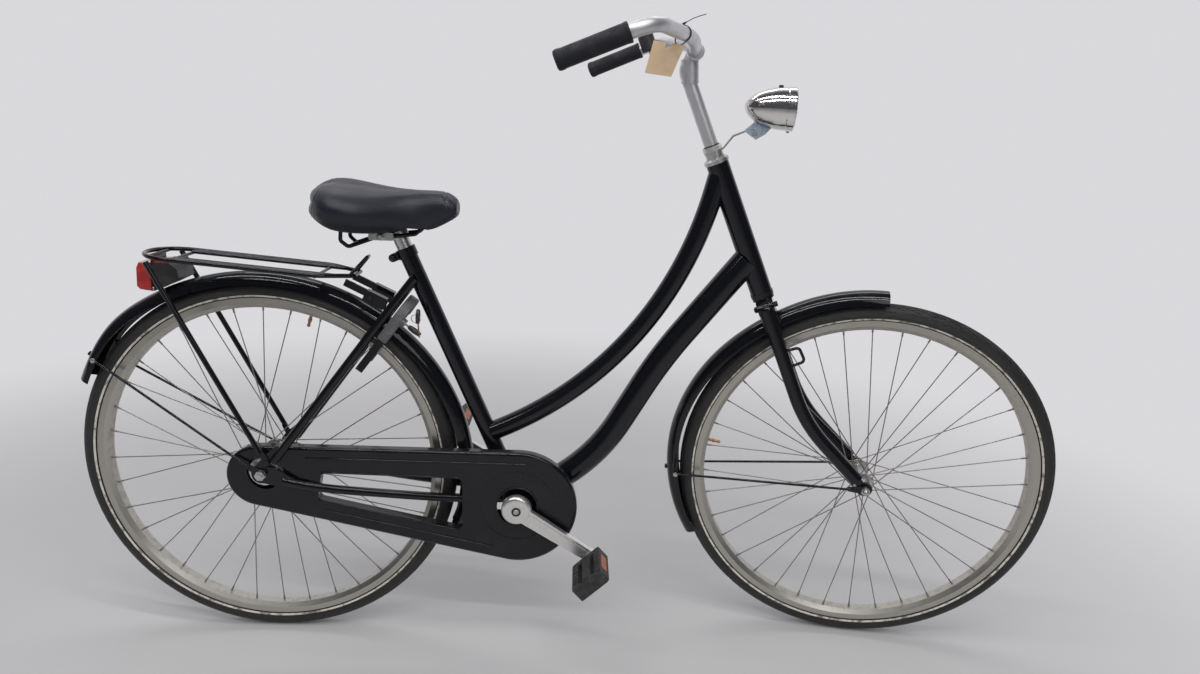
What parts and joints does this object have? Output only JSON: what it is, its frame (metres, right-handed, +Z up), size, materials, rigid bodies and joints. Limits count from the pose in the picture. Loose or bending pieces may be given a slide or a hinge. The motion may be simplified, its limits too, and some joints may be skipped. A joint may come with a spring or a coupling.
{
  "type": "city bicycle",
  "caption": "Step-through city bicycle with a looped frame, swept handlebar, full chain case, mudguards, rear carrier and ring lock.",
  "frame": {"origin": "top of the saddle, on the bicycle's middle plane, where the rider sits", "axes": "+X forward, +Y to the rider's left, +Z up; the frame's plane is upright and the wheels stand on one level line"},
  "size_m": [1.857, 0.5904, 1.1962],
  "materials": {
    "frame_paint": "gloss black",
    "guard_paint": "gloss black",
    "case_paint": "gloss black",
    "black_steel": "satin black",
    "bright_steel": "polished, dulled",
    "rim_steel": "dull",
    "crank_steel": "dull",
    "tyre": "matt",
    "black_plastic": "gloss",
    "lock_shell": "satin",
    "grey_plastic": "satin",
    "saddle_cover": "satin, embossed",
    "grip_rubber": "matt",
    "pedal_rubber": "matt",
    "red_lens": "gloss",
    "amber_lens": "gloss",
    "clear_glass": "clear"
  },
  "bodies": {
    "frame": {"head_tube": "frame_paint", "headset_cups": "bright_steel", "upper_tube": "frame_paint", "lower_tube": "frame_paint", "seat_tube": "frame_paint", "bottom_bracket": "frame_paint", "chain_stays": "frame_paint", "seat_stays": "frame_paint", "rear_dropouts": "frame_paint", "rear_axle": "bright_steel", "rear_mudguard": "guard_paint", "rear_mudguard_stays": "guard_paint", "carrier_deck": "frame_paint", "carrier_stays": "frame_paint", "carrier_struts": "frame_paint", "rear_light_lens": "red_lens", "rear_light_housing": "black_plastic", "chain_case": "case_paint", "ring_lock": "black_steel", "ring_lock_cover": "lock_shell", "seat_post": "bright_steel", "saddle_frame": "black_steel", "saddle_clamp": "bright_steel", "saddle": "saddle_cover"},
    "steering": {"fork_crown": "frame_paint", "fork_blades": "frame_paint", "front_axle": "bright_steel", "front_mudguard": "guard_paint", "front_mudguard_stays": "guard_paint", "headset_nut": "bright_steel", "handlebar": "bright_steel", "grips": "grip_rubber", "headlight_shell": "bright_steel", "headlight_glass": "clear_glass", "headlight_bracket": "bright_steel", "headlight_holder": "grey_plastic", "bell": "black_plastic"},
    "front_wheel": {"front_tyre": "tyre", "front_rim": "rim_steel", "front_spokes": "bright_steel", "front_hub": "bright_steel"},
    "rear_wheel": {"rear_tyre": "tyre", "rear_rim": "rim_steel", "rear_spokes": "bright_steel", "rear_hub": "bright_steel"},
    "crankset": {"crank_spindle": "bright_steel", "crank_right": "crank_steel", "crank_left": "crank_steel"},
    "right_pedal": {"pedal_right": "pedal_rubber", "pedal_right_reflectors": "amber_lens"},
    "left_pedal": {"pedal_left": "pedal_rubber", "pedal_left_reflectors": "amber_lens"}
  },
  "joints": [
    {"name": "steering", "type": "hinge", "parent": "frame", "child": "steering", "pos_m": [0.87305, 0, -0.534], "axis": [-0.3949, 0, 0.9187], "range_deg": [-49.4, 70.6]},
    {"name": "front_wheel_spin", "type": "hinge", "parent": "steering", "child": "front_wheel", "pos_m": [0.94396, -0.01216, -0.53444], "axis": [0.169, 0.9829, 0.0726], "continuous": true},
    {"name": "rear_wheel_spin", "type": "hinge", "parent": "frame", "child": "rear_wheel", "pos_m": [-0.206, 0, -0.534], "axis": [0, 1, 0], "continuous": true},
    {"name": "crank_spin", "type": "hinge", "parent": "frame", "child": "crankset", "pos_m": [0.27, 0, -0.594], "axis": [0, 1, 0], "continuous": true},
    {"name": "right_pedal_spin", "type": "hinge", "parent": "crankset", "child": "right_pedal", "pos_m": [0.41257, -0.11, -0.68659], "axis": [0, 1, 0], "continuous": true},
    {"name": "left_pedal_spin", "type": "hinge", "parent": "crankset", "child": "left_pedal", "pos_m": [0.12743, 0.11, -0.50141], "axis": [0, 1, 0], "continuous": true}
  ]
}
